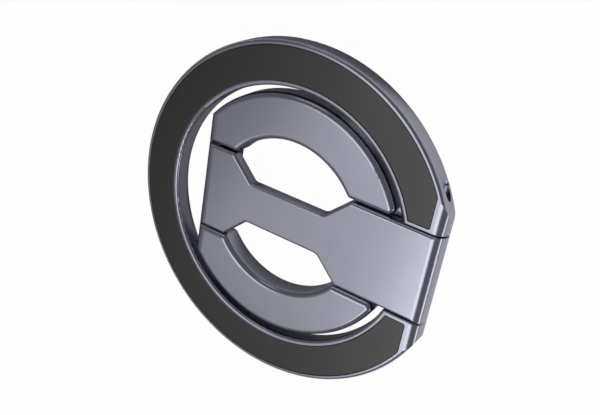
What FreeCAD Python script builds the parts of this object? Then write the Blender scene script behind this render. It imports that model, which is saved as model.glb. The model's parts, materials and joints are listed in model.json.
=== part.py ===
import FreeCAD, Part
import math
import os
import Sketcher

# Phone ring holder: a flat magnetic base ring, an arm hinged at the ring's flat side and a
# finger ring hinged at the arm's free end. All of it folds flat into the base ring.
# Sketches are drawn about the base ring's centre, with +X from the finger ring's hinge to the
# arm's hinge, both hinge axes along Y, and z = 0 on the face that goes against the phone.

document = FreeCAD.newDocument("phone_ring_holder")
sizes = document.addObject("Spreadsheet::Sheet", "Sizes")

# Driving dimensions in millimetres, then the ones that follow from them.
DIMENSIONS = [
    # Base ring
    ("outer_radius", "30", "outside of the base ring"),
    ("ring_width", "7.4", "from the outside of the base ring in to its opening"),
    ("metal_height", "4", "thickness of all three metal parts"),
    ("hinge_inset", "3.9", "from the outside circle in to the arm's hinge axis"),
    ("front_edge_round", "0.55", "outer edge on the visible face"),
    ("back_edge_round", "1", "outer edge on the phone side"),
    ("bore_front_round", "0.5", "opening's edge on the visible face"),
    ("bore_back_round", "1.5", "opening's edge on the phone side"),
    ("slot_edge_round", "0.25", "edges beside the arm"),
    # Soft inlay on the visible face
    ("outer_land", "0.76", "metal outside the inlay"),
    ("inner_land", "0.78", "metal inside the inlay"),
    ("hinge_land", "0.55", "metal between the inlay and the hinge axis"),
    ("slot_land", "0.61", "metal between the inlay and the arm's slot"),
    ("inlay_thickness", "0.5", "inlay, flush with the metal"),
    ("inlay_gap", "0.08", "gap all round the inlay and the grip ring"),
    ("inlay_bevel", "0.1", "bevel of the inlay's and grip ring's shown edges"),
    ("tip_round", "0.4", "inlay corner beside the arm"),
    ("heel_round", "1", "inlay corner at the outer arc"),
    # Grip ring, magnets and their cover on the phone side
    ("grip_proud", "0.15", "height of the grip ring above the metal on the phone side"),
    ("grip_outer_land", "1.15", "metal outside the grip ring"),
    ("grip_inner_land", "1.6", "metal inside the grip ring"),
    ("grip_recess_depth", "0.45", "recess for the grip ring"),
    ("cover_step", "0.15", "from the grip ring's recess to the cover's edge"),
    ("cover_thickness", "0.3", "magnet cover"),
    ("cover_gap", "0.05", "gap round the magnet cover"),
    ("magnet_step", "0.25", "from the cover's edge to the magnets"),
    ("magnet_thickness", "1.5", "magnets"),
    ("magnet_gap", "0.1", "gap round the magnets in their channel"),
    ("magnet_glue", "0.05", "glue between magnets and cover"),
    ("magnet_pitch_angle", "18", "angle from one magnet to the next"),
    ("magnet_gap_angle", "0.7", "angle between two magnets"),
    ("magnet_count", "16", "magnets in the open ring"),
    ("channel_play_angle", "2", "angle that the channel is longer than the magnets"),
    ("cover_overlap_angle", "1.6", "angle that the cover is longer than the channel"),
    ("cover_play_angle", "0.4", "angle that the cover's recess is longer than the cover"),
    ("yoke_thickness", "0.4", "steel yoke behind the magnets"),
    # Arm
    ("arm_half_width", "7.85", "half the width of the arm's ends"),
    ("arm_side_gap", "0.2", "gap on each side of the arm in the base ring"),
    ("arm_plate", "1.75", "arm between its ends"),
    ("web_gap", "0.25", "gap between the arm and the base ring's web below it"),
    ("barrel_gap", "0.2", "gap round the arm's barrel in the base ring"),
    ("waist_half", "3.75", "half the width of the arm's waist"),
    ("waist_left", "7.1", "end of the waist towards the finger ring's hinge"),
    ("waist_right", "7.4", "end of the waist towards the arm's hinge"),
    ("shoulder_slope", "1.03", "run along the arm for each unit of width at a shoulder"),
    ("waist_left_round", "1.1", "inner corner of the waist near the finger ring's hinge"),
    ("waist_right_round", "1.6", "inner corner of the waist near the arm's hinge"),
    ("shoulder_round", "0.7", "outer corners of the shoulders"),
    ("block_setback", "0.7", "from the shoulder to the thick end block"),
    ("block_corner_round", "0.5", "inner corner between the block and the plate"),
    ("arm_edge_round", "0.55", "arm's front edges"),
    ("block_edge_round", "0.3", "end block's back edges"),
    # Finger ring
    ("ring_gap", "1.1", "gap between the finger ring and the base ring's opening"),
    ("finger_width", "7.9", "from the finger ring's outside in to the finger hole"),
    ("ring_hinge_inset", "6", "from the finger ring's outside in to its hinge axis"),
    ("bridge_gap", "0.3", "gap between the bridge and the arm in front of it"),
    ("finger_side_gap", "0.3", "gap on each side of the arm in the finger ring"),
    ("finger_edge_round", "1", "finger ring's front edges"),
    ("finger_back_round", "0.5", "finger ring's back edges"),
    ("finger_corner_round", "1.2", "corner between the arm's channel and the outside"),
    ("finger_tip_round", "1.15", "corner between the arm's channel and the finger hole"),
    ("opening_gap", "0.12", "room between the base ring and the finger ring while it opens"),
    ("relief_lip", "1.1", "finger ring's front lip over the relief beside its hinge"),
    ("notch_start", "1.35", "from the ring's hinge axis to the relief's notch"),
    ("notch_depth", "1.2", "depth of the relief's notch"),
    # Hinge pins, friction sleeves and washers
    ("pin_radius", "0.75", "hinge pins"),
    ("pin_bevel", "0.15", "bevel of the pins' ends"),
    ("pin_blind", "2.8", "wall left past the blind end of a pin, along its axis"),
    ("pin_recess", "1.7", "depth of a pin's end below its mouth"),
    ("pin_end_gap", "0.2", "space past the blind end of a pin"),
    ("spot_radius", "1.15", "spot face at the mouth of the arm's pin hole"),
    ("spot_lift", "0.66", "from the hole's mouth on its axis out to the spot face"),
    ("sleeve_radius", "1.2", "outside of the friction sleeves"),
    ("sleeve_fit", "0.03", "running fit between pin and sleeve"),
    ("sleeve_slit", "0.4", "slit that lets the sleeve spring"),
    ("sleeve_inset", "0.15", "sleeve end below the arm's side"),
    ("washer_radius", "1.5", "outside of the washers"),
    ("washer_fit", "0.05", "gap between pin and washer"),
    ("washer_play", "0.05", "play between a washer and the arm"),
    # Sizes that follow: levels and cuts
    ("bore_radius", "=outer_radius - ring_width", "wall of the base ring's opening"),
    ("base_z", "=grip_proud", "metal's phone side"),
    ("top_z", "=grip_proud + metal_height", "visible face"),
    ("barrel_radius", "=metal_height / 2", "full rounds of the hinge barrels"),
    ("axis_z", "=grip_proud + barrel_radius", "height of both hinge axes"),
    ("below_z", "=-metal_height", "a level below everything, for cuts"),
    ("above_z", "=top_z + metal_height", "a level above everything, for cuts"),
    ("reach", "=outer_radius + metal_height", "a radius past everything, for cuts"),
    ("full_width", "=2 * reach", "length of cuts that go right through"),
    ("hinge_x", "=outer_radius - hinge_inset", "axis of the arm's hinge"),
    ("frame_shift", "=(outer_radius - hinge_x - barrel_radius) / 2", "centres the outline"),
    # Sizes that follow: slot and web
    ("slot_half", "=arm_half_width + arm_side_gap", "half the slot for the arm"),
    ("slot_width", "=2 * slot_half", "slot for the arm"),
    ("slot_start", "=bore_radius - slot_half", "start of the slot's cut, inside the opening"),
    ("plate_z", "=top_z - arm_plate", "underside of the arm's plate"),
    ("web_z", "=plate_z - web_gap", "top of the web below the arm"),
    ("nest_radius", "=barrel_radius + barrel_gap", "hollow for the arm's barrel"),
    ("nest_x", "=hinge_x - sqrt(nest_radius^2 - (web_z - axis_z)^2)", "hollow at the web's top"),
    ("nest_z", "=axis_z - nest_radius", "lowest point of the hollow"),
    # Sizes that follow: the inlay and the grip ring in their recesses
    ("front_floor", "=top_z - inlay_thickness", "floor of the front recess"),
    ("recess_edge", "=hinge_x - hinge_land", "straight side of both recesses"),
    ("recess_end", "=slot_half + slot_land", "ends of both recesses"),
    ("front_inner", "=bore_radius + inner_land", "inner wall of the front recess"),
    ("front_outer", "=outer_radius - outer_land", "outer wall of the front recess"),
    ("front_tip_x", "=sqrt(front_inner^2 - recess_end^2)", "front recess, inner corner"),
    ("front_heel_y", "=sqrt(front_outer^2 - recess_edge^2)", "front recess, outer corner"),
    ("back_floor", "=base_z + grip_recess_depth", "floor of the back recess"),
    ("back_inner", "=bore_radius + grip_inner_land", "inner wall of the back recess"),
    ("back_outer", "=outer_radius - grip_outer_land", "outer wall of the back recess"),
    ("back_tip_x", "=sqrt(back_inner^2 - recess_end^2)", "back recess, inner corner"),
    ("back_heel_y", "=sqrt(back_outer^2 - recess_edge^2)", "back recess, outer corner"),
    ("inlay_edge", "=recess_edge - inlay_gap", "straight side of inlay and grip ring"),
    ("inlay_end", "=recess_end + inlay_gap", "ends of inlay and grip ring"),
    ("inlay_inner", "=front_inner + inlay_gap", "inlay's inner radius"),
    ("inlay_outer", "=front_outer - inlay_gap", "inlay's outer radius"),
    ("inlay_tip_x", "=sqrt(inlay_inner^2 - inlay_end^2)", "inlay, inner corner"),
    ("inlay_heel_y", "=sqrt(inlay_outer^2 - inlay_edge^2)", "inlay, outer corner"),
    ("grip_inner", "=back_inner + inlay_gap", "grip ring's inner radius"),
    ("grip_outer", "=back_outer - inlay_gap", "grip ring's outer radius"),
    ("grip_tip_x", "=sqrt(grip_inner^2 - inlay_end^2)", "grip ring, inner corner"),
    ("grip_heel_y", "=sqrt(grip_outer^2 - inlay_edge^2)", "grip ring, outer corner"),
    # Sizes that follow: cover, magnets and yoke
    ("cover_inner", "=back_inner + cover_step", "cover's inner radius"),
    ("cover_outer", "=back_outer - cover_step", "cover's outer radius"),
    ("cover_top", "=back_floor + cover_thickness", "top of the magnet cover"),
    ("ledge_inner", "=cover_inner - cover_gap", "recess for the cover"),
    ("ledge_outer", "=cover_outer + cover_gap", "recess for the cover"),
    ("magnet_inner", "=cover_inner + magnet_step", "inner radius of the magnet ring"),
    ("magnet_outer", "=cover_outer - magnet_step", "outer radius of the magnet ring"),
    ("channel_inner", "=magnet_inner - magnet_gap", "magnet channel"),
    ("channel_outer", "=magnet_outer + magnet_gap", "magnet channel"),
    ("magnet_base", "=cover_top + magnet_glue", "phone side of the magnets"),
    ("magnet_top", "=magnet_base + magnet_thickness", "where magnets meet the yoke"),
    ("channel_top", "=magnet_top + yoke_thickness", "roof of the channel"),
    ("magnet_angle", "=magnet_pitch_angle - magnet_gap_angle", "angle that one magnet covers"),
    ("magnets_angle", "=magnet_pitch_angle * magnet_count", "angle of the row of magnets"),
    ("channel_angle", "=magnets_angle + channel_play_angle", "angle of the channel"),
    ("cover_angle", "=channel_angle + cover_overlap_angle", "angle of the cover"),
    ("ledge_angle", "=cover_angle + cover_play_angle", "angle of the recess for the cover"),
    # Sizes that follow: finger ring
    ("finger_outer", "=bore_radius - ring_gap", "outside of the finger ring"),
    ("finger_inner", "=finger_outer - finger_width", "wall of the finger hole"),
    ("ring_hinge_x", "=finger_outer - ring_hinge_inset", "the ring's hinge, from the centre"),
    ("bridge_z", "=plate_z - bridge_gap", "top of the bridge behind the arm"),
    ("finger_wall", "=arm_half_width + finger_side_gap", "wall beside the arm"),
    ("finger_channel", "=2 * finger_wall", "channel for the arm"),
    ("finger_tip_x", "=sqrt(finger_inner^2 - finger_wall^2)", "channel meets finger hole"),
    ("finger_corner_x", "=sqrt(finger_outer^2 - finger_wall^2)", "channel meets outside"),
    # Sizes that follow: relief that takes the base ring's lip when the ring opens by 135 degrees
    ("relief_z", "=top_z - relief_lip", "underside of the front lip"),
    ("notch_z", "=base_z + notch_depth", "top of the notch"),
    ("relief_run", "=(axis_z + opening_gap) * sqrt(2)", "half-open slope, from the axis"),
    ("slope_x", "=relief_run - ring_hinge_x + axis_z", "slope's place at height zero"),
    ("relief_low_x", "=slope_x - below_z", "slope at the level below everything"),
    ("relief_top_x", "=slope_x - relief_z", "slope at the front lip"),
    ("notch_top_x", "=slope_x - notch_z", "slope at the notch's top"),
    ("notch_x", "=notch_start - ring_hinge_x", "side of the notch by the hinge"),
    ("corner_reach", "=sqrt(barrel_radius^2 + notch_start^2)", "knuckle's corner from the axis"),
    ("knuckle_lip_y", "=sqrt(bore_radius^2 - (ring_hinge_x + corner_reach)^2)", "opening there"),
    ("knuckle_side", "=knuckle_lip_y - opening_gap", "outer end of the knuckles"),
    ("notch_lip_y", "=sqrt(bore_radius^2 - (ring_hinge_x + 2 * barrel_radius)^2)", "opening there"),
    ("notch_side", "=notch_lip_y - opening_gap", "inner end of the notch"),
    # Sizes that follow: arm
    ("arm_left", "=ring_hinge_x + barrel_radius", "end of the arm's block"),
    ("arm_right", "=hinge_x + barrel_radius", "end of the arm's barrel"),
    ("arm_width", "=2 * arm_half_width", "width of the arm's ends"),
    ("plate_x", "=hinge_x - sqrt(barrel_radius^2 - (plate_z - axis_z)^2)", "plate meets barrel"),
    ("window_y", "=arm_half_width + shoulder_slope", "past the arm's side, for the waist"),
    ("window_left", "=waist_left + shoulder_slope * (window_y - waist_half)", "waist cut"),
    ("window_right", "=waist_right + shoulder_slope * (window_y - waist_half)", "waist cut"),
    ("shoulder_left", "=waist_left + shoulder_slope * (arm_half_width - waist_half)", "shoulder"),
    ("shoulder_right", "=waist_right + shoulder_slope * (arm_half_width - waist_half)", "shoulder"),
    ("block_end", "=shoulder_left + block_setback", "where the thick end block begins"),
    # Sizes that follow: pins, sleeves and washers
    ("arm_mouth", "=sqrt(outer_radius^2 - hinge_x^2)", "mouth of the arm's pin hole"),
    ("ring_mouth", "=sqrt(finger_outer^2 - ring_hinge_x^2)", "mouth of the ring's pin hole"),
    ("spot_floor", "=arm_mouth + spot_lift", "floor of the spot face"),
    ("arm_pin_depth", "=arm_mouth - pin_blind", "blind end of the arm's pin"),
    ("arm_pin_length", "=2 * arm_mouth - pin_blind - pin_recess", "arm's pin"),
    ("arm_hole_depth", "=arm_pin_depth + pin_end_gap", "blind end of the arm's pin hole"),
    ("ring_pin_depth", "=ring_mouth - pin_blind", "blind end of the ring's pin"),
    ("ring_pin_length", "=2 * ring_mouth - pin_blind - pin_recess", "ring's pin"),
    ("ring_hole_depth", "=ring_pin_depth + pin_end_gap", "blind end of the ring's pin hole"),
    ("sleeve_bore", "=pin_radius + sleeve_fit", "inside of the sleeves"),
    ("sleeve_length", "=arm_width - 2 * sleeve_inset", "length of the sleeves"),
    ("arm_slit_left", "=hinge_x - sleeve_slit / 2", "slit of the arm's hinge sleeve"),
    ("arm_slit_right", "=hinge_x + sleeve_slit / 2", "slit of the arm's hinge sleeve"),
    ("ring_slit_left", "=ring_hinge_x + sleeve_slit / 2", "slit of the ring's hinge sleeve"),
    ("ring_slit_right", "=ring_hinge_x - sleeve_slit / 2", "slit of the ring's hinge sleeve"),
    ("washer_bore", "=pin_radius + washer_fit", "inside of the washers"),
    ("arm_washer", "=arm_side_gap - washer_play", "thickness beside the arm's hinge"),
    ("ring_washer", "=finger_side_gap - washer_play", "thickness beside the ring's hinge"),
]

for row, (alias, content, meaning) in enumerate(DIMENSIONS, 1):
    sizes.set("A%d" % row, alias)
    sizes.set("B%d" % row, content)
    sizes.set("C%d" % row, meaning)
    sizes.setAlias("B%d" % row, alias)
document.recompute()

NEAR = 1e-4


def value(term):
    """The number behind a term: a size's name, its name after a minus sign, or 0."""
    if term == "0":
        return 0.0
    if term.startswith("-"):
        return -float(sizes.get(term[1:]))
    return float(sizes.get(term))


def bound(term):
    """The expression that ties a property to a term."""
    if term.startswith("-"):
        return "-Sizes." + term[1:]
    return "Sizes." + term


def origin_feature(body, role):
    """One of the body's own planes or axes."""
    return [item for item in body.Origin.OriginFeatures if item.Role == role][0]


def new_body(label):
    """A body whose drawing centre lies where the base ring's centre is in the part's frame."""
    body = document.addObject("PartDesign::Body", label)
    body.Label = label
    body.setExpression("Placement.Base.x", bound("frame_shift"))
    return body


def new_sketch(body, name, plane, lift=None):
    """A sketch on one of the body's planes, or raised from it along its normal."""
    sketch = body.newObject("Sketcher::SketchObject", name)
    sketch.AttachmentSupport = [(origin_feature(body, plane), "")]
    sketch.MapMode = "FlatFace"
    if lift:
        sketch.setExpression("AttachmentOffset.Base.z", bound(lift))
    return sketch


def tie(sketch, geometry, point, axis, term):
    """Holds one coordinate of a point at a named size, or on the axis when it is 0."""
    if term == "0":
        sketch.addConstraint(
            Sketcher.Constraint("PointOnObject", geometry, point, -2 if axis == "X" else -1))
        return
    index = sketch.addConstraint(
        Sketcher.Constraint("Distance" + axis, -1, 1, geometry, point, value(term)))
    name = "%s_%d_%d" % (axis, geometry, point)
    sketch.renameConstraint(index, name)
    sketch.setExpression("Constraints." + name, bound(term))


def outline(sketch, corners):
    """A closed outline through named corners.

    A corner (x, y) ends a straight run. A corner (x, y, centre x, centre y, turn) ends an arc
    about that centre, turn +1 when it runs anticlockwise and -1 when it runs clockwise.
    """
    first_points = []
    last_points = []
    start = corners[-1]
    for corner in corners:
        from_x, from_y = value(start[0]), value(start[1])
        to_x, to_y = value(corner[0]), value(corner[1])
        if len(corner) == 2:
            geometry = sketch.addGeometry(Part.LineSegment(
                FreeCAD.Vector(from_x, from_y, 0), FreeCAD.Vector(to_x, to_y, 0)))
            first_points.append((geometry, 1))
            last_points.append((geometry, 2))
        else:
            centre_x, centre_y, turn = value(corner[2]), value(corner[3]), corner[4]
            start_angle = math.atan2(from_y - centre_y, from_x - centre_x)
            end_angle = math.atan2(to_y - centre_y, to_x - centre_x)
            circle = Part.Circle(
                FreeCAD.Vector(centre_x, centre_y, 0), FreeCAD.Vector(0, 0, 1),
                math.hypot(from_x - centre_x, from_y - centre_y))
            if turn > 0:
                arc = Part.ArcOfCircle(circle, start_angle, end_angle)
            else:
                arc = Part.ArcOfCircle(circle, end_angle, start_angle)
            geometry = sketch.addGeometry(arc)
            first_points.append((geometry, 1 if turn > 0 else 2))
            last_points.append((geometry, 2 if turn > 0 else 1))
            if abs(to_y - from_y) > abs(to_x - from_x):
                tie(sketch, geometry, 3, "X", corner[2])
            else:
                tie(sketch, geometry, 3, "Y", corner[3])
        start = corner
    for index, corner in enumerate(corners):
        geometry, point = last_points[index]
        next_geometry, next_point = first_points[(index + 1) % len(corners)]
        sketch.addConstraint(
            Sketcher.Constraint("Coincident", geometry, point, next_geometry, next_point))
        tie(sketch, geometry, point, "X", corner[0])
        tie(sketch, geometry, point, "Y", corner[1])


def circle(sketch, x, y, radius):
    """A full circle about a named point."""
    geometry = sketch.addGeometry(Part.Circle(
        FreeCAD.Vector(value(x), value(y), 0), FreeCAD.Vector(0, 0, 1), value(radius)))
    tie(sketch, geometry, 3, "X", x)
    tie(sketch, geometry, 3, "Y", y)
    index = sketch.addConstraint(Sketcher.Constraint("Radius", geometry, value(radius)))
    name = "radius_%d" % geometry
    sketch.renameConstraint(index, name)
    sketch.setExpression("Constraints." + name, bound(radius))


def sweep(body, kind, name, sketch, length=None, both=False, back=False):
    """A Pad or Pocket of a sketch: a named length, or right through, one way or both."""
    feature = body.newObject("PartDesign::" + kind, name)
    feature.Profile = sketch
    if length:
        feature.setExpression("Length", bound(length))
    else:
        feature.Type = "ThroughAll"
    if both:
        feature.SideType = "Symmetric"
    feature.Reversed = back
    body.Tip = feature
    return feature


def turn_section(body, kind, name, sketch, angle=None):
    """A Revolution or Groove of a section about the Z axis, all round or over a named angle
    to both sides of the sketch."""
    feature = body.newObject("PartDesign::" + kind, name)
    feature.Profile = sketch
    feature.ReferenceAxis = (sketch, ["V_Axis"])
    if angle:
        feature.setExpression("Angle", bound(angle))
        feature.Midplane = True
    else:
        feature.Angle = 360
    body.Tip = feature
    return feature


def ring_section(body, name, inner, outer, low, high, side=""):
    """A rectangular section between two radii and two heights, on the +X or -X side."""
    sketch = new_sketch(body, name, "XZ_Plane")
    outline(sketch, [
        (side + inner, low), (side + outer, low), (side + outer, high), (side + inner, high)])
    return sketch


def open_ring_outline(sketch, tip_x, heel_y, edge, end):
    """An open ring that stops beside the arm and follows the hinge with a straight edge."""
    outline(sketch, [
        (edge, end), (edge, heel_y), (edge, "-" + heel_y, "0", "0", 1),
        (edge, "-" + end), (tip_x, "-" + end), (tip_x, end, "0", "0", -1)])


def dress_edges(body, kind, name, size, wanted):
    """Rounds or bevels the edges whose start, middle and end all meet a condition."""
    document.recompute()
    before = body.Tip
    picked = []
    for index, edge in enumerate(before.Shape.Edges, 1):
        low, high = edge.ParameterRange
        points = [edge.valueAt(low + (high - low) * part) for part in (0.0, 0.5, 1.0)]
        if all(wanted(point) for point in points):
            picked.append("Edge%d" % index)
    if not picked:
        raise RuntimeError("%s finds no edge" % name)
    feature = body.newObject("PartDesign::" + kind, name)
    feature.Base = (before, picked)
    feature.setExpression("Radius" if kind == "Fillet" else "Size", bound(size))
    body.Tip = feature


def round_edges(body, name, radius, wanted):
    """Fillets the edges that meet a condition."""
    dress_edges(body, "Fillet", name, radius, wanted)


def bevel_edges(body, name, size, wanted):
    """Chamfers the edges that meet a condition."""
    dress_edges(body, "Chamfer", name, size, wanted)


def near(number, term):
    return abs(number - value(term)) < NEAR


def on_circle(point, radius, height):
    """Whether a point lies on a circle about the Z axis at a height."""
    return near(math.hypot(point.x, point.y), radius) and near(point.z, height)


def upright(point, x, y):
    """Whether a point lies on an upright edge at x, and at y on either side."""
    return near(point.x, x) and near(abs(point.y), y)


def nose_cut(body, name, axis_x, side, width):
    """Cuts the ring past a hinge axis down to a full round nose about that axis."""
    sketch = new_sketch(body, name + "_sketch", "XZ_Plane")
    far = side + "reach"
    turn = 1 if side == "" else -1
    outline(sketch, [
        (axis_x, "base_z"), (axis_x, "top_z", axis_x, "axis_z", turn),
        (axis_x, "above_z"), (far, "above_z"), (far, "below_z"), (axis_x, "below_z")])
    sweep(body, "Pocket", name, sketch, length=width, both=True)


def relief_cuts(body, name, side, corners):
    """Cuts the same outline away on both sides, from a distance beside the arm outwards."""
    for label, lift, back in (("upper", "-" + side, False), ("lower", side, True)):
        sketch = new_sketch(body, "%s_%s_sketch" % (name, label), "XZ_Plane", lift=lift)
        outline(sketch, corners)
        sweep(body, "Pocket", "%s_%s" % (name, label), sketch, length="reach", back=back)


def pin_hole(body, name, axis_x, depth):
    """A hole along Y from outside on the +Y side down to a blind end on the -Y side."""
    sketch = new_sketch(body, name + "_sketch", "XZ_Plane", lift=depth)
    circle(sketch, axis_x, "axis_z", "pin_radius")
    sweep(body, "Pocket", name, sketch, length="full_width")


def make_base_ring():
    """Open ring with a flat hinge side: inlay recess in front, magnet channel behind, a slot
    and a hollow for the arm, and two knuckles that hold the arm's pin."""
    body = new_body("base_ring")
    section = ring_section(
        body, "ring_section", "bore_radius", "outer_radius", "base_z", "top_z")
    turn_section(body, "Revolution", "ring_blank", section)
    round_edges(body, "outer_front_round", "front_edge_round",
                lambda p: on_circle(p, "outer_radius", "top_z"))
    round_edges(body, "outer_back_round", "back_edge_round",
                lambda p: on_circle(p, "outer_radius", "base_z"))
    round_edges(body, "opening_front_round", "bore_front_round",
                lambda p: on_circle(p, "bore_radius", "top_z"))
    round_edges(body, "opening_back_round", "bore_back_round",
                lambda p: on_circle(p, "bore_radius", "base_z"))
    nose_cut(body, "knuckle_nose", "hinge_x", "", "full_width")

    slot = new_sketch(body, "arm_slot_sketch", "XZ_Plane")
    outline(slot, [
        ("slot_start", "web_z"), ("nest_x", "web_z"),
        ("hinge_x", "nest_z", "hinge_x", "axis_z", 1),
        ("hinge_x", "below_z"), ("reach", "below_z"),
        ("reach", "above_z"), ("slot_start", "above_z")])
    sweep(body, "Pocket", "arm_slot", slot, length="slot_width", both=True)
    round_edges(body, "slot_round", "slot_edge_round",
                lambda p: near(abs(p.y), "slot_half") and near(p.z, "top_z"))

    front = new_sketch(body, "front_recess_sketch", "XY_Plane", lift="front_floor")
    open_ring_outline(front, "front_tip_x", "front_heel_y", "recess_edge", "recess_end")
    sweep(body, "Pocket", "front_recess", front, length="metal_height", back=True)
    round_edges(body, "recess_heel_corners", "heel_round",
                lambda p: upright(p, "recess_edge", "front_heel_y"))
    round_edges(body, "recess_tip_corners", "tip_round",
                lambda p: upright(p, "recess_edge", "recess_end") and p.z > value("axis_z"))

    back = new_sketch(body, "back_recess_sketch", "XY_Plane", lift="back_floor")
    open_ring_outline(back, "back_tip_x", "back_heel_y", "recess_edge", "recess_end")
    sweep(body, "Pocket", "back_recess", back, length="metal_height")
    round_edges(body, "back_heel_corners", "heel_round",
                lambda p: upright(p, "recess_edge", "back_heel_y"))
    round_edges(body, "back_tip_corners", "tip_round",
                lambda p: upright(p, "recess_edge", "recess_end") and p.z < value("axis_z"))
    ledge = ring_section(
        body, "ledge_section", "ledge_inner", "ledge_outer", "back_floor", "cover_top", "-")
    turn_section(body, "Groove", "cover_ledge", ledge, "ledge_angle")
    channel = ring_section(
        body, "channel_section", "channel_inner", "channel_outer", "cover_top", "channel_top", "-")
    turn_section(body, "Groove", "magnet_channel", channel, "channel_angle")

    pin_hole(body, "pin_hole", "hinge_x", "arm_hole_depth")
    spot = new_sketch(body, "spot_face_sketch", "XZ_Plane", lift="-spot_floor")
    circle(spot, "hinge_x", "axis_z", "spot_radius")
    sweep(body, "Pocket", "spot_face", spot, length="full_width")
    return body


def make_inlay(label, tip_x, heel_y, low, thickness, shown):
    """A thin open ring that fills one of the base ring's two shallow recesses."""
    body = new_body(label)
    sketch = new_sketch(body, label + "_sketch", "XY_Plane", lift=low)
    open_ring_outline(sketch, tip_x, heel_y, "inlay_edge", "inlay_end")
    sweep(body, "Pad", label + "_sheet", sketch, length=thickness)
    round_edges(body, label + "_heel_corners", "heel_round",
                lambda p: upright(p, "inlay_edge", heel_y))
    round_edges(body, label + "_tip_corners", "tip_round",
                lambda p: upright(p, "inlay_edge", "inlay_end"))
    bevel_edges(body, label + "_edge", "inlay_bevel", lambda p: near(p.z, shown))
    return body


def make_band(label, inner, outer, low, high, angle):
    """A flat open band of rectangular section, centred opposite the arm's hinge."""
    body = new_body(label)
    section = ring_section(body, label + "_section", inner, outer, low, high, "-")
    turn_section(body, "Revolution", label + "_band", section, angle)
    return body


def make_magnets():
    """Arc magnets side by side, each turned to its own place round the ring."""
    bodies = []
    count = int(round(value("magnet_count")))
    for index in range(count):
        body = make_band("magnet_%02d" % (index + 1), "magnet_inner", "magnet_outer",
                         "magnet_base", "magnet_top", "magnet_angle")
        step = index - (count - 1) / 2
        body.Placement.Rotation = FreeCAD.Rotation(
            FreeCAD.Vector(0, 0, 1), step * value("magnet_pitch_angle"))
        bodies.append(body)
    return bodies


def make_arm():
    """Flat arm with a waist, a round barrel at the base ring's hinge and a thick block with a
    round end at the finger ring's hinge."""
    body = new_body("arm")
    profile = new_sketch(body, "side_profile", "XZ_Plane")
    outline(profile, [
        ("-arm_left", "top_z"), ("-arm_left", "base_z"),
        ("-block_end", "base_z"), ("-block_end", "plate_z"),
        ("plate_x", "plate_z"), ("plate_x", "base_z"),
        ("arm_right", "base_z"), ("arm_right", "top_z")])
    sweep(body, "Pad", "arm_blank", profile, length="arm_width", both=True)
    round_edges(body, "block_corner", "block_corner_round",
                lambda p: near(p.x, "-block_end") and near(p.z, "plate_z"))

    window = new_sketch(body, "waist_sketch", "XY_Plane", lift="above_z")
    outline(window, [
        ("-waist_left", "waist_half"), ("waist_right", "waist_half"),
        ("window_right", "window_y"), ("-window_left", "window_y")])
    cut = sweep(body, "Pocket", "waist_cut", window)
    other_side = body.newObject("PartDesign::Mirrored", "waist_cut_mirrored")
    other_side.Originals = [cut]
    other_side.MirrorPlane = (origin_feature(body, "XZ_Plane"), [""])
    body.Tip = other_side
    round_edges(body, "waist_left_corners", "waist_left_round",
                lambda p: upright(p, "-waist_left", "waist_half"))
    round_edges(body, "waist_right_corners", "waist_right_round",
                lambda p: upright(p, "waist_right", "waist_half"))
    round_edges(body, "shoulder_corners", "shoulder_round",
                lambda p: upright(p, "-shoulder_left", "arm_half_width")
                or upright(p, "shoulder_right", "arm_half_width"))
    round_edges(body, "arm_front_edges", "arm_edge_round",
                lambda p: near(p.z, "top_z") and abs(p.y) > NEAR)
    round_edges(body, "block_back_edges", "block_edge_round",
                lambda p: near(p.z, "base_z") and abs(p.y) > NEAR and p.x < 0)

    nose_cut(body, "block_nose", "-ring_hinge_x", "-", "full_width")
    barrel = new_sketch(body, "barrel_sketch", "XZ_Plane")
    outline(barrel, [
        ("hinge_x", "above_z"), ("reach", "above_z"), ("reach", "below_z"),
        ("plate_x", "below_z"), ("plate_x", "plate_z"),
        ("hinge_x", "top_z", "hinge_x", "axis_z", 1)])
    sweep(body, "Pocket", "barrel_round", barrel, length="full_width", both=True)

    bores = new_sketch(body, "sleeve_bore_sketch", "XZ_Plane")
    circle(bores, "hinge_x", "axis_z", "sleeve_radius")
    circle(bores, "-ring_hinge_x", "axis_z", "sleeve_radius")
    sweep(body, "Pocket", "sleeve_bores", bores, length="full_width", both=True)
    return body


def make_finger_ring():
    """Ring for a finger: two thick crescents beside the arm, joined behind it by a low bridge,
    with round knuckles on both sides of the arm's block."""
    body = new_body("finger_ring")
    section = ring_section(
        body, "finger_section", "finger_inner", "finger_outer", "base_z", "top_z")
    turn_section(body, "Revolution", "finger_blank", section)
    channel = new_sketch(body, "arm_channel_sketch", "XZ_Plane")
    outline(channel, [
        ("-reach", "below_z"), ("0", "below_z"), ("0", "bridge_z"),
        ("reach", "bridge_z"), ("reach", "above_z"), ("-reach", "above_z")])
    sweep(body, "Pocket", "arm_channel", channel, length="finger_channel", both=True)
    round_edges(body, "channel_corners", "finger_corner_round",
                lambda p: upright(p, "finger_corner_x", "finger_wall"))
    round_edges(body, "channel_tips", "finger_tip_round",
                lambda p: upright(p, "finger_tip_x", "finger_wall")
                or upright(p, "-finger_tip_x", "finger_wall"))
    round_edges(body, "finger_front_edges", "finger_edge_round",
                lambda p: near(p.z, "top_z"))
    round_edges(body, "finger_back_edges", "finger_back_round",
                lambda p: near(p.z, "base_z"))
    nose_cut(body, "finger_nose", "-ring_hinge_x", "-", "full_width")
    relief_cuts(body, "hinge_relief", "knuckle_side", [
        ("-reach", "below_z"), ("relief_low_x", "below_z"),
        ("relief_top_x", "relief_z"), ("-reach", "relief_z")])
    relief_cuts(body, "lip_notch", "notch_side", [
        ("notch_x", "below_z"), ("relief_low_x", "below_z"),
        ("notch_top_x", "notch_z"), ("notch_x", "notch_z")])
    pin_hole(body, "finger_pin_hole", "-ring_hinge_x", "ring_hole_depth")
    return body


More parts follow.
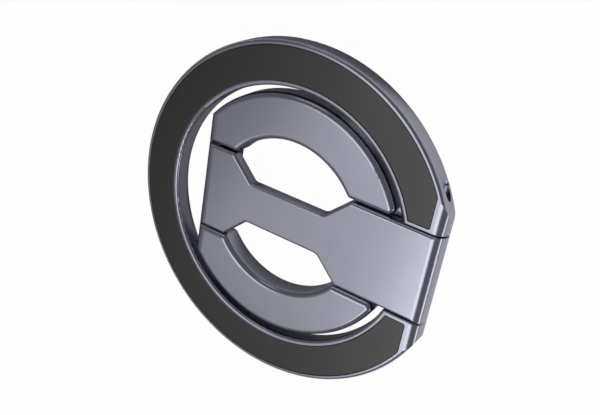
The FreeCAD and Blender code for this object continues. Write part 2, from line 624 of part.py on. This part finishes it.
def make_pin(label, axis_x, depth, length):
    """A plain hinge pin along Y, from its blind end to just below its mouth."""
    body = new_body(label)
    sketch = new_sketch(body, label + "_sketch", "XZ_Plane", lift=depth)
    circle(sketch, axis_x, "axis_z", "pin_radius")
    sweep(body, "Pad", label + "_rod", sketch, length=length, back=True)
    bevel_edges(body, label + "_ends", "pin_bevel",
                lambda p: near(math.hypot(p.x - value(axis_x), p.z - value("axis_z")), "pin_radius")
                and abs(p.y) > NEAR)
    return body


def make_sleeve(label, axis_x, slit_left, slit_right):
    """A slit spring sleeve, pressed into the arm, that grips the hinge pin."""
    body = new_body(label)
    sketch = new_sketch(body, label + "_sketch", "XZ_Plane")
    circle(sketch, axis_x, "axis_z", "sleeve_radius")
    circle(sketch, axis_x, "axis_z", "sleeve_bore")
    sweep(body, "Pad", label + "_tube", sketch, length="sleeve_length", both=True)
    slit = new_sketch(body, label + "_slit_sketch", "XZ_Plane")
    outline(slit, [
        (slit_left, "axis_z"), (slit_right, "axis_z"),
        (slit_right, "above_z"), (slit_left, "above_z")])
    sweep(body, "Pocket", label + "_slit", slit, length="full_width", both=True)
    return body


def make_washer(label, axis_x, wall, thickness, side):
    """A thin washer on the pin, lying against the knuckle's side wall."""
    body = new_body(label)
    lift = "-" + wall if side > 0 else wall
    sketch = new_sketch(body, label + "_sketch", "XZ_Plane", lift=lift)
    circle(sketch, axis_x, "axis_z", "washer_radius")
    circle(sketch, axis_x, "axis_z", "washer_bore")
    sweep(body, "Pad", label + "_disc", sketch, length=thickness, back=side < 0)
    return body


parts = [make_base_ring()]
parts.append(make_inlay("front_inlay", "inlay_tip_x", "inlay_heel_y",
                        "front_floor", "inlay_thickness", "top_z"))
parts.append(make_inlay("grip_ring", "grip_tip_x", "grip_heel_y",
                        None, "back_floor", "0"))
parts.append(make_band("magnet_cover", "cover_inner", "cover_outer",
                       "back_floor", "cover_top", "cover_angle"))
parts.append(make_band("magnet_yoke", "magnet_inner", "magnet_outer",
                       "magnet_top", "channel_top", "magnets_angle"))
parts.extend(make_magnets())
parts.append(make_arm())
parts.append(make_finger_ring())
parts.append(make_pin("arm_hinge_pin", "hinge_x", "arm_pin_depth", "arm_pin_length"))
parts.append(make_pin("ring_hinge_pin", "-ring_hinge_x", "ring_pin_depth", "ring_pin_length"))
parts.append(make_sleeve("arm_friction_sleeve", "hinge_x", "arm_slit_left", "arm_slit_right"))
parts.append(make_sleeve("ring_friction_sleeve", "-ring_hinge_x",
                         "-ring_slit_left", "-ring_slit_right"))
for side, place in ((1, "upper"), (-1, "lower")):
    parts.append(make_washer("arm_washer_" + place, "hinge_x", "slot_half", "arm_washer", side))
    parts.append(make_washer("ring_washer_" + place, "-ring_hinge_x", "finger_wall",
                             "ring_washer", side))

document.recompute()
faults = [item.Label for item in document.Objects
          if "Invalid" in item.State or "Error" in item.State]
if faults:
    raise RuntimeError("these objects failed: %s" % ", ".join(faults))
for body in parts:
    if body.Shape.isNull() or not body.Shape.isValid() or len(body.Shape.Solids) != 1:
        raise RuntimeError("%s has no single valid solid" % body.Label)

os.makedirs("parts", exist_ok=True)
for body in parts:
    body.Shape.exportStep("parts/%s.step" % body.Label)
    box = body.Shape.BoundBox
    print("%-22s %9.3f mm3  x %7.2f %7.2f  y %7.2f %7.2f  z %5.2f %5.2f" % (
        body.Label, body.Shape.Volume, box.XMin, box.XMax, box.YMin, box.YMax,
        box.ZMin, box.ZMax))
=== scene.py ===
import json
import math
import bpy
import numpy as np
from mathutils import Matrix, Vector


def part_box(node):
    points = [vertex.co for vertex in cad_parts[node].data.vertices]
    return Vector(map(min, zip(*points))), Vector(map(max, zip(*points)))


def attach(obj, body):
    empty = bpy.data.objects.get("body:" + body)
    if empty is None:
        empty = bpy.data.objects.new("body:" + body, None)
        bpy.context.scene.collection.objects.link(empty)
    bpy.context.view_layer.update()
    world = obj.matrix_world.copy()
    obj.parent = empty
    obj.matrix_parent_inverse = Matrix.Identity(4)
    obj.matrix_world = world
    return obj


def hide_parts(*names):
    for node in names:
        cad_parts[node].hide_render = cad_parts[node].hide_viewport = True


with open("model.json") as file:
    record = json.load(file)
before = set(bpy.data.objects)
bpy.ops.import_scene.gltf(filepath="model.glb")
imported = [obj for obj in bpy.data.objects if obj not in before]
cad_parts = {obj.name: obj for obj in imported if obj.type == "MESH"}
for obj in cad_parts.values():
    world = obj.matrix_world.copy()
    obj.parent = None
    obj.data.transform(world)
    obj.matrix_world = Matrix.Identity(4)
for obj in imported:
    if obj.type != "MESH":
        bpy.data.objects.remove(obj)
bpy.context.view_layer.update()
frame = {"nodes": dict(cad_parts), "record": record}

nodes = frame["nodes"]

# Places on the object, in metres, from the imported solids.
ring_low, ring_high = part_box("base_ring")
OUTER_RADIUS = (ring_high[1] - ring_low[1]) / 2
RING_X = ring_low[0] + OUTER_RADIUS
FACE_Z = ring_high[2]


def set_inputs(node, **values):
    """Sets numbers on a shader node's own sockets by name, with _ for a space."""
    for name, number in values.items():
        node.inputs[name.replace("_", " ")].default_value = number


class Finish:
    """A material being wired: its principled shader and short calls for the nodes before it."""

    def __init__(self, name, **constants):
        self.material = bpy.data.materials.new(name)
        self.material.use_nodes = True
        self.nodes = self.material.node_tree.nodes
        self.links = self.material.node_tree.links
        self.shader = self.nodes["Principled BSDF"]
        set_inputs(self.shader, **constants)
        self.coords = self.nodes.new("ShaderNodeTexCoord").outputs["Object"]

    def link(self, source, target):
        self.links.new(source, target)

    def noise(self, scale, detail, roughness=0.5):
        """Noise over object coordinates, its scale in waves per metre."""
        node = self.nodes.new("ShaderNodeTexNoise")
        set_inputs(node, Scale=scale, Detail=detail, Roughness=roughness)
        self.link(self.coords, node.inputs["Vector"])
        return node.outputs["Fac"]

    def ramp(self, source, stops):
        """Colours along a value, stops as (place, colour)."""
        node = self.nodes.new("ShaderNodeValToRGB")
        points = node.color_ramp.elements
        while len(points) < len(stops):
            points.new(0.5)
        for point, (place, colour) in zip(points, stops):
            point.position = place
            point.color = (*colour, 1.0)
        self.link(source, node.inputs["Fac"])
        return node.outputs["Color"]

    def tinted(self, source, low, high, darkest, tint):
        """The tint, down to a share of it where the value is low."""
        dark = tuple(channel * darkest for channel in tint)
        self.link(self.ramp(source, [(low, dark), (high, tint)]), self.shader.inputs["Base Color"])

    def roughened(self, source, middle, below, above):
        """Roughness from a little below to a little above the middle."""
        self.link(self.spread(source, middle - below, middle + above),
                  self.shader.inputs["Roughness"])

    def spread(self, source, low, high):
        """A value between two limits, from one between 0.3 and 0.7."""
        node = self.nodes.new("ShaderNodeMapRange")
        set_inputs(node, From_Min=0.3, From_Max=0.7, To_Min=low, To_Max=high)
        self.link(source, node.inputs["Value"])
        return node.outputs["Result"]

    def bump(self, height, distance, strength):
        """Tilts the surface by a height, its distance in metres."""
        node = self.nodes.new("ShaderNodeBump")
        set_inputs(node, Strength=strength, Distance=distance)
        self.link(height, node.inputs["Height"])
        self.link(node.outputs["Normal"], self.shader.inputs["Normal"])


def satin_metal(name, tint, roughness):
    """Blasted and anodised alloy: fine grain in the surface, faint mottling in the colour."""
    finish = Finish(name, Metallic=1.0)
    mottle = finish.noise(260.0, detail=3.0)
    finish.tinted(mottle, 0.3, 0.7, 0.97, tint)
    grain = finish.noise(7000.0, detail=2.0)
    finish.roughened(grain, roughness, 0.02, 0.03)
    finish.bump(grain, 0.000004, 0.15)
    return finish.material


def soft_skin(name, tint, roughness, gloss=0.5):
    """Soft sheet with faint clouds in its colour and a very fine pebble in its surface."""
    finish = Finish(name, Metallic=0.0, Specular_IOR_Level=gloss)
    cloud = finish.noise(400.0, detail=4.0)
    finish.tinted(cloud, 0.3, 0.7, 0.85, tint)
    pebble = finish.noise(5200.0, detail=3.0, roughness=0.6)
    finish.roughened(pebble, roughness, 0.02, 0.02)
    finish.bump(pebble, 0.00002, 0.07)
    return finish.material


def plated_metal(name, tint, roughness):
    """Small turned or plated metal part."""
    finish = Finish(name, Metallic=1.0)
    marks = finish.noise(3000.0, detail=3.0)
    finish.tinted(marks, 0.35, 0.65, 0.85, tint)
    finish.roughened(marks, roughness, 0.05, 0.08)
    finish.bump(marks, 0.000005, 0.3)
    return finish.material


METAL_TINT = (0.50, 0.505, 0.60)
METAL_ROUGHNESS = 0.2
finishes = {
    "metal_base": satin_metal("base ring satin alloy", METAL_TINT, METAL_ROUGHNESS),
    "metal_arm": satin_metal("arm satin alloy", METAL_TINT, METAL_ROUGHNESS),
    "metal_finger_ring": satin_metal("finger ring satin alloy", METAL_TINT, METAL_ROUGHNESS),
    "soft_inlay": soft_skin("inlay black skin", (0.0085, 0.0085, 0.0083), 0.29, 1.0),
    "grip_rubber": soft_skin("grip ring silicone", (0.028, 0.028, 0.030), 0.6),
    "cover_sheet": soft_skin("cover sheet", (0.04, 0.04, 0.045), 0.5),
    "yoke_steel": plated_metal("yoke steel", (0.5, 0.5, 0.5), 0.35),
    "magnet_nickel": plated_metal("magnet nickel", (0.62, 0.6, 0.57), 0.22),
    "pin_steel": plated_metal("pin steel", (0.18, 0.18, 0.19), 0.3),
    "sleeve_bronze": plated_metal("sleeve bronze", (0.55, 0.38, 0.2), 0.35),
    "washer_plastic": soft_skin("washer nylon", (0.05, 0.05, 0.05), 0.45),
}
slots = {entry["node"]: entry["material_slot"] for entry in frame["record"]["subparts"]}
for name, piece in nodes.items():
    piece.data.materials.clear()
    piece.data.materials.append(finishes[slots[name]])


# Corner roundings of the two soft rings, in metres, as the part's source has them.
TIP_ROUND = 0.0004
HEEL_ROUND = 0.001

# Rolled edge and relief of a soft ring's skin, in metres, and its mesh.
RIM_ROUND = 0.00012
SWELL = 0.000004
RIPPLE_SHARE = 0.06
RIPPLE_TURNS = 31
RIPPLE_PER_METRE = 3000
ALONG_POINTS, ALONG_PULL = 620, 0.985
ACROSS_POINTS, ACROSS_PULL = 26, 0.93
CIRCLE_POINTS = 2000
BLOCK = 2000


def open_ring_sizes(node):
    """Radii, straight side, ends and levels of a soft open ring, read from its CAD mesh."""
    mesh = nodes[node].data
    points = np.empty(len(mesh.vertices) * 3)
    mesh.vertices.foreach_get("co", points)
    world = np.array(nodes[node].matrix_world)
    points = points.reshape(-1, 3) @ world[:3, :3].T + world[:3, 3] - (RING_X, 0, 0)
    radii = np.hypot(points[:, 0], points[:, 1])
    right = points[points[:, 0] > radii.min() / 2]
    return {"inner": radii.min(), "outer": radii.max(), "edge": points[:, 0].max(),
            "end": np.abs(right[:, 1]).min(),
            "low": points[:, 2].min(), "high": points[:, 2].max()}


def arc(middle, radius, start, end, count):
    """Points on an arc from a start angle to an end angle, in radians."""
    turn = np.linspace(start, end, count)
    return np.stack([middle[0] + radius * np.cos(turn), middle[1] + radius * np.sin(turn)], 1)


def resample(path, places):
    """Points at shares of a path's length."""
    steps = np.hypot(*np.diff(path, axis=0).T)
    along = np.concatenate([[0], np.cumsum(steps)]) / steps.sum()
    return np.stack([np.interp(places, along, path[:, i]) for i in range(2)], 1)


def gathered(count, pull):
    """Places from 0 to 1, closer together near both ends, as t - pull sin(2 pi t) / 2 pi."""
    t = np.linspace(0, 1, count)
    return t - pull * np.sin(2 * np.pi * t) / (2 * np.pi)


def ring_patch(size, along, across):
    """Points over the open ring: the outline's four sides blended, each inner point with its
    outer point in straight lines, plus what the two end sides depart from straight."""
    edge, end = size["edge"], size["end"]
    tip = (math.sqrt(size["inner"] ** 2 - end ** 2), end)
    tip_angle = math.atan2(tip[1], tip[0])
    inner = arc((0, 0), size["inner"], tip_angle, 2 * math.pi - tip_angle, CIRCLE_POINTS)
    heel_x = edge - HEEL_ROUND
    heel_y = math.sqrt((size["outer"] - HEEL_ROUND) ** 2 - heel_x ** 2)
    heel_angle = math.atan2(heel_y, heel_x)
    corner = (edge - TIP_ROUND, end + TIP_ROUND)
    upper = np.concatenate([arc(corner, TIP_ROUND, -math.pi / 4, 0, 40),
                            arc((heel_x, heel_y), HEEL_ROUND, 0, heel_angle, 60)])
    middle = arc((0, 0), size["outer"], heel_angle, 2 * math.pi - heel_angle, CIRCLE_POINTS)
    mirror = (1, -1)
    outer = np.concatenate([upper, middle[1:-1], upper[::-1] * mirror])
    first = np.concatenate([[tip], arc(corner, TIP_ROUND, -math.pi / 2, -math.pi / 4, 40)])
    inside, outside = resample(inner, along), resample(outer, along)
    upper_end = resample(first, across)
    lower_end = upper_end * mirror
    t, v = along[:, None, None], across[None, :, None]
    sides = (1 - v) * inside[:, None] + v * outside[:, None]
    ends = (1 - t) * upper_end[None] + t * lower_end[None]
    straight = ((1 - t) * (1 - v) * inside[0] + (1 - t) * v * outside[0]
                + t * (1 - v) * inside[-1] + t * v * outside[-1])
    outline = np.concatenate([resample(inner, np.linspace(0, 1, 1600)),
                              resample(outer, np.linspace(0, 1, 1900)), upper_end, lower_end])
    return sides + ends - straight, outline


def distance_to(outline, points):
    """Distance from each point to the nearest point of an outline."""
    nearest = np.empty(len(points))
    for start in range(0, len(points), BLOCK):
        block = points[start:start + BLOCK]
        gaps = np.hypot(block[:, None, 0] - outline[None, :, 0],
                        block[:, None, 1] - outline[None, :, 1])
        nearest[start:start + BLOCK] = gaps.min(axis=1)
    return nearest


def skin_fall(size, flat, inward):
    """How far a soft ring's skin lies below its highest level, at a distance d in from the
    outline: r - sqrt(r^2 - (r - d)^2) within the rim's round r, a swell that ends as
    1 - sin(pi d / 2w) over half the width w, and a ripple sin(31 turn + 2 sin(3000 reach))."""
    lean = RIM_ROUND - np.minimum(inward, RIM_ROUND)
    drop = RIM_ROUND - np.sqrt(RIM_ROUND ** 2 - lean ** 2)
    half_width = (size["outer"] - size["inner"]) / 2
    dome = SWELL * (1 - np.sin(np.minimum(inward / half_width, 1) * math.pi / 2))
    turn = np.arctan2(flat[:, 1], flat[:, 0])
    reach = np.hypot(flat[:, 0], flat[:, 1])
    wave = np.sin(turn * RIPPLE_TURNS + 2 * np.sin(reach * RIPPLE_PER_METRE))
    ripple = RIPPLE_SHARE * SWELL * (1 + wave)
    return drop + dome + ripple * np.minimum(inward / RIM_ROUND, 1)


def soft_ring(name, node, slot, shown_up):
    """A soft open ring with a rolled edge and a finely rippled skin on its shown face."""
    size = open_ring_sizes(node)
    along = gathered(ALONG_POINTS, ALONG_PULL)
    across = gathered(ACROSS_POINTS, ACROSS_PULL)
    grid, outline = ring_patch(size, along, across)
    flat = grid.reshape(-1, 2)
    inward = distance_to(outline, flat)
    rim = np.zeros((len(along), len(across)), bool)
    rim[0] = rim[-1] = True
    rim[:, 0] = rim[:, -1] = True
    inward[rim.ravel()] = 0
    fall = skin_fall(size, flat, inward)
    show = size["high"] - fall if shown_up else size["low"] + fall
    hide = np.full(len(flat), size["low"] if shown_up else size["high"])
    points = np.concatenate([np.column_stack([flat, show]), np.column_stack([flat, hide])])
    points[:, 0] += RING_X
    rows, columns = len(along), len(across)
    index = np.arange(rows * columns).reshape(rows, columns)
    quads = np.stack([index[:-1, :-1], index[1:, :-1], index[1:, 1:], index[:-1, 1:]], -1)
    quads = quads.reshape(-1, 4)
    loop = np.concatenate([index[:-1, 0], index[-1, :-1], index[:0:-1, -1], index[0, :0:-1]])
    after = np.roll(loop, -1)
    shift = rows * columns
    wall = np.stack([loop, loop + shift, after + shift, after], -1)
    faces = np.concatenate([quads[:, ::-1], quads + shift, wall])
    if not shown_up:
        faces = faces[:, ::-1]
    mesh = bpy.data.meshes.new(name)
    mesh.from_pydata(points.tolist(), [], faces.tolist())
    mesh.materials.append(finishes[slot])
    mesh.shade_smooth()
    piece = bpy.data.objects.new(name, mesh)
    bpy.context.scene.collection.objects.link(piece)
    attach(piece, "base")
    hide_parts(node)


soft_ring("soft_front_inlay", "front_inlay", "soft_inlay", shown_up=True)
soft_ring("silicone_grip_ring", "grip_ring", "grip_rubber", shown_up=False)

# How clear the floor is to the camera, how much white gloss sees, and the dim room's colour.
FLOOR_CLEAR = 0.98
GLOSS_GLOW = 0.07
ROOM_COLOUR = (0.08, 0.08, 0.088)
FLOOR_COLOUR = (0.9, 0.9, 0.9)
FLOOR_HALF_SIZE = 1.5
LAMP_DISTANCE = 0.8
CENTRE = (RING_X, 0, FACE_Z)


def largest(tree, shares):
    """The largest of several shader values, each times its own number."""
    most = None
    for output, part in shares:
        scaled = tree.nodes.new("ShaderNodeMath")
        scaled.operation = "MULTIPLY"
        scaled.inputs[1].default_value = part
        tree.links.new(output, scaled.inputs[0])
        if most is None:
            most = scaled
            continue
        larger = tree.nodes.new("ShaderNodeMath")
        larger.operation = "MAXIMUM"
        tree.links.new(most.outputs[0], larger.inputs[0])
        tree.links.new(scaled.outputs[0], larger.inputs[1])
        most = larger
    return most.outputs[0]


def make_floor():
    """Pale floor that lights the object from below. The camera looks through most of it at the
    world's plain white, and it is clear from below, so that a pose may reach under it."""
    reach = FLOOR_HALF_SIZE
    corners = [(-reach, -reach, 0), (reach, -reach, 0), (reach, reach, 0), (-reach, reach, 0)]
    mesh = bpy.data.meshes.new("floor")
    mesh.from_pydata(corners, [], [(0, 1, 2, 3)])
    floor = bpy.data.objects.new("floor", mesh)
    bpy.context.scene.collection.objects.link(floor)
    material = bpy.data.materials.new("pale floor")
    material.use_nodes = True
    tree = material.node_tree
    shader = tree.nodes["Principled BSDF"]
    set_inputs(shader, Roughness=0.9)
    shader.inputs["Base Color"].default_value = (*FLOOR_COLOUR, 1)
    clear = tree.nodes.new("ShaderNodeBsdfTransparent")
    path = tree.nodes.new("ShaderNodeLightPath")
    side = tree.nodes.new("ShaderNodeNewGeometry")
    share = largest(tree, [(path.outputs["Is Camera Ray"], FLOOR_CLEAR),
                           (path.outputs["Is Transmission Ray"], FLOOR_CLEAR),
                           (path.outputs["Is Glossy Ray"], GLOSS_GLOW),
                           (side.outputs["Backfacing"], 1.0)])
    mix = tree.nodes.new("ShaderNodeMixShader")
    tree.links.new(share, mix.inputs["Fac"])
    tree.links.new(shader.outputs["BSDF"], mix.inputs[1])
    tree.links.new(clear.outputs["BSDF"], mix.inputs[2])
    tree.links.new(mix.outputs["Shader"], tree.nodes["Material Output"].inputs["Surface"])
    mesh.materials.append(material)


def make_world():
    """Even dim surroundings, plain white to the camera and partly white to gloss."""
    world = bpy.data.worlds.new("studio")
    world.use_nodes = True
    bpy.context.scene.world = world
    tree = world.node_tree
    room = tree.nodes["Background"]
    room.inputs["Color"].default_value = (*ROOM_COLOUR, 1)
    white = tree.nodes.new("ShaderNodeBackground")
    white.inputs["Color"].default_value = (1, 1, 1, 1)
    path = tree.nodes.new("ShaderNodeLightPath")
    share = largest(tree, [(path.outputs["Is Camera Ray"], 1.0),
                           (path.outputs["Is Transmission Ray"], 1.0),
                           (path.outputs["Is Glossy Ray"], GLOSS_GLOW)])
    mix = tree.nodes.new("ShaderNodeMixShader")
    tree.links.new(share, mix.inputs["Fac"])
    tree.links.new(room.outputs["Background"], mix.inputs[1])
    tree.links.new(white.outputs["Background"], mix.inputs[2])
    tree.links.new(mix.outputs["Shader"], tree.nodes["World Output"].inputs["Surface"])


def soft_box(name, azimuth, elevation, width, height, level, mirrored=True):
    """A soft box that looks at the ring's centre from a direction in degrees, with the level
    that its face shows, where 1 is white: power is level times pi times its area."""
    data = bpy.data.lights.new(name, "AREA")
    data.shape = "RECTANGLE"
    data.size = width
    data.size_y = height
    data.energy = level * math.pi * width * height
    lamp = bpy.data.objects.new(name, data)
    lamp.visible_glossy = mirrored
    turn, rise = math.radians(azimuth), math.radians(elevation)
    away = Vector((math.cos(rise) * math.cos(turn), math.cos(rise) * math.sin(turn),
                   math.sin(rise)))
    lamp.matrix_world = Matrix.Translation(Vector(CENTRE) + away * LAMP_DISTANCE) @ (
        (-away).to_track_quat("-Z", "Y").to_matrix().to_4x4())
    bpy.context.scene.collection.objects.link(lamp)


# Camera: place and axes of the photograph's view, from the ring's centre on the visible face.
CAMERA_PLACE = (0.0617, 0.0657, 0.1103)
VIEW_RIGHT = (0.8320, 0.1580, -0.5318)
VIEW_UP = (-0.3623, 0.8807, -0.3051)
VIEW_BACK = (0.4202, 0.4465, 0.7900)
LENS_MM = 50.8
SENSOR_MM = 36.0


def make_camera():
    """The photograph's camera, as a plain lens on a 36 mm frame."""
    data = bpy.data.cameras.new("camera")
    data.lens = LENS_MM
    data.sensor_width = SENSOR_MM
    data.sensor_fit = "HORIZONTAL"
    data.clip_start = 0.005
    camera = bpy.data.objects.new("camera", data)
    turn = Matrix((VIEW_RIGHT, VIEW_UP, VIEW_BACK)).transposed().to_4x4()
    place = Vector(CAMERA_PLACE) + Vector(CENTRE)
    camera.matrix_world = Matrix.Translation(place) @ turn
    bpy.context.scene.collection.objects.link(camera)
    bpy.context.scene.camera = camera


make_floor()
make_world()
soft_box("wide low soft box", 228, 52, 0.9, 0.9, 0.09)
soft_box("middle soft box", 246, 62, 0.5, 0.5, 0.34)
soft_box("top soft box", 200, 75, 0.34, 0.34, 0.8)
soft_box("side soft box", 268, 60, 0.38, 0.38, 1.0)
soft_box("front edge soft box", 331, 14, 0.3, 0.12, 2.0)
soft_box("back edge soft box", 112, 24, 0.3, 0.12, 0.8)
soft_box("floor light", 318, 20, 0.2, 0.2, 60.0, mirrored=False)
make_camera()

bpy.context.scene.view_settings.view_transform = "Standard"
